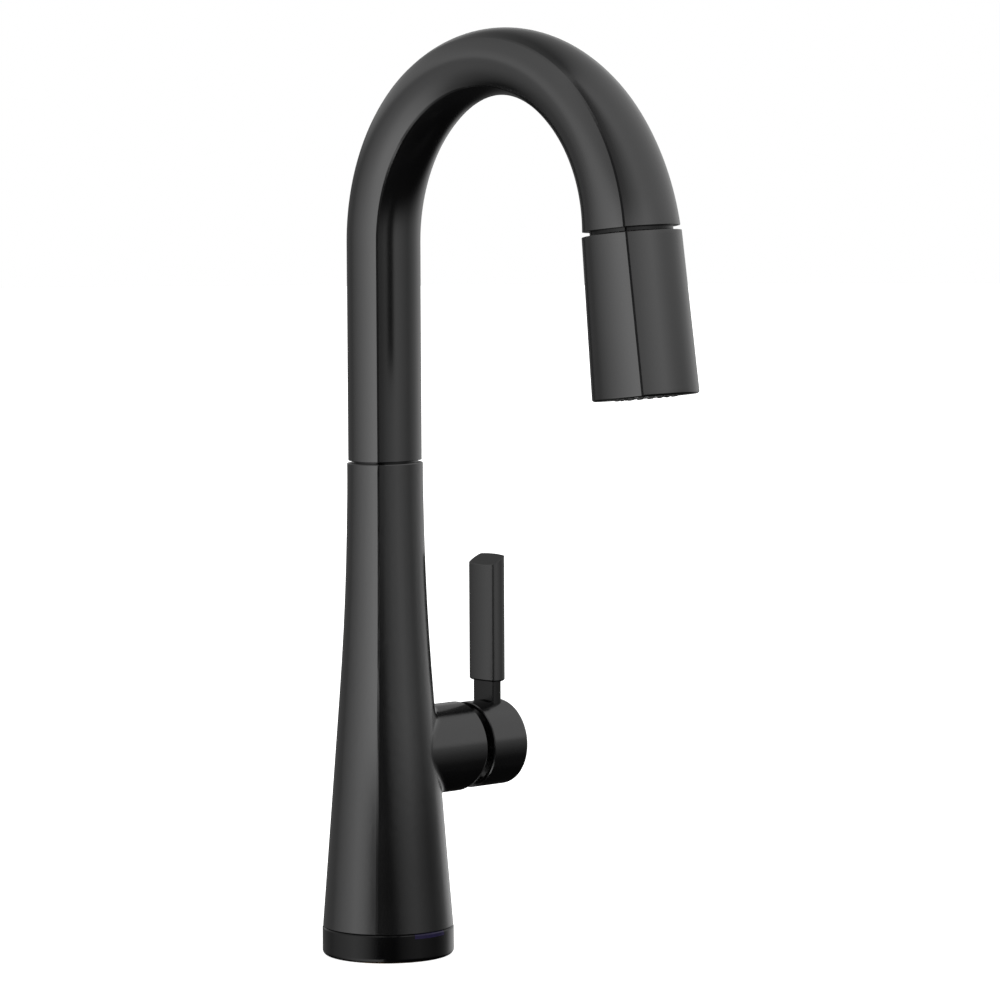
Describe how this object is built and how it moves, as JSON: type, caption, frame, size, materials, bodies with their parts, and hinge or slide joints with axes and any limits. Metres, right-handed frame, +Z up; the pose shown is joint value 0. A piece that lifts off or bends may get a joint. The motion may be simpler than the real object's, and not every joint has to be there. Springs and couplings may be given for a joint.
{
  "type": "bar faucet",
  "caption": "Pull-down bar faucet with a tapered body, a swivelling gooseneck spout, a docking spray wand with a rocker, and a side lever handle.",
  "frame": {"origin": "middle of the base, on the deck that the base stands on", "axes": "+Z up; the spout points to -Y and the handle to +X"},
  "size_m": [0.0929, 0.2035, 0.4827],
  "materials": {
    "satin_black": "satin",
    "black_plastic": "matte",
    "violet_lens": "smoked",
    "circuit_board": "matte",
    "led": "clear",
    "rubber": "matte",
    "brass": "machined",
    "copper": "drawn",
    "steel": "machined",
    "ceramic": "lapped",
    "white_plastic": "moulded",
    "grey_plastic": "moulded",
    "magnet": "sintered",
    "hose": "braided"
  },
  "bodies": {
    "faucet_body": {"base_ring": "black_plastic", "base_gasket": "rubber", "indicator_lens": "violet_lens", "indicator_board": "circuit_board", "indicator_led": "led", "mounting_shank": "brass", "mounting_washer": "steel", "mounting_nut": "brass", "clamp_screws": "steel", "body_shell": "satin_black", "valve_block": "brass", "hot_tube": "copper", "cold_tube": "copper", "outlet_tube": "copper", "swivel_bushing": "white_plastic", "glide_ring": "black_plastic", "cartridge_seal": "rubber", "cartridge_housing": "white_plastic", "fixed_disc": "ceramic", "bonnet_nut": "brass", "hub_dome": "black_plastic"},
    "temperature": {"cartridge_carrier": "white_plastic", "pivot_pin": "steel"},
    "flow_disc": {"moving_disc": "ceramic"},
    "handle": {"cartridge_stem": "steel", "handle_cap": "satin_black", "set_screw": "steel", "lever_blade": "satin_black", "lever_grip": "satin_black"},
    "spout": {"spout_tube": "satin_black", "swivel_stem": "brass", "swivel_o_rings": "rubber", "retaining_clip": "steel", "docking_collar": "black_plastic", "dock_magnet": "magnet", "spray_hose": "hose", "hose_coupling": "brass"},
    "wand": {"wand_shell": "satin_black", "wand_core": "grey_plastic", "dock_keeper": "steel", "hose_connector": "brass", "check_valve": "grey_plastic", "toggle_pin": "steel", "spray_face": "black_plastic", "nozzle_membrane": "rubber", "aerator": "white_plastic"},
    "toggle": {"spray_toggle": "black_plastic"},
    "diverter": {"diverter_spool": "grey_plastic"}
  },
  "joints": [
    {"name": "spout_swivel", "type": "hinge", "parent": "faucet_body", "child": "spout", "pos_m": [0, 0, 0.2063], "axis": [0, 0, 1], "continuous": true},
    {"name": "wand_pull", "type": "slide", "parent": "spout", "child": "wand", "axis": [0, -0.1219, -0.9925], "range_m": [0, 0.22]},
    {"name": "spray_toggle", "type": "hinge", "parent": "wand", "child": "toggle", "pos_m": [0, -0.13863, 0.26505], "axis": [1, 0, 0], "range_deg": [-7, 7]},
    {"name": "diverter_slide", "type": "slide", "parent": "wand", "child": "diverter", "axis": [0, -0.1219, -0.9925], "range_m": [-0.001, 0.001]},
    {"name": "handle_temperature", "type": "hinge", "parent": "faucet_body", "child": "temperature", "pos_m": [0.028, 0, 0.0837], "axis": [1, 0, 0], "range_deg": [-45, 45]},
    {"name": "handle_flow", "type": "hinge", "parent": "temperature", "child": "handle", "pos_m": [0.028, 0, 0.0837], "axis": [0, 1, 0], "range_deg": [0, 20]},
    {"name": "disc_slide", "type": "slide", "parent": "temperature", "child": "flow_disc", "axis": [0, 0, 1], "range_m": [0, 0.0019]}
  ],
  "couplings": [
    {"joint": "spray_toggle", "follows": "diverter_slide", "rad_per_m": 121.98},
    {"joint": "disc_slide", "follows": "handle_flow", "m_per_rad": 0.0054}
  ]
}
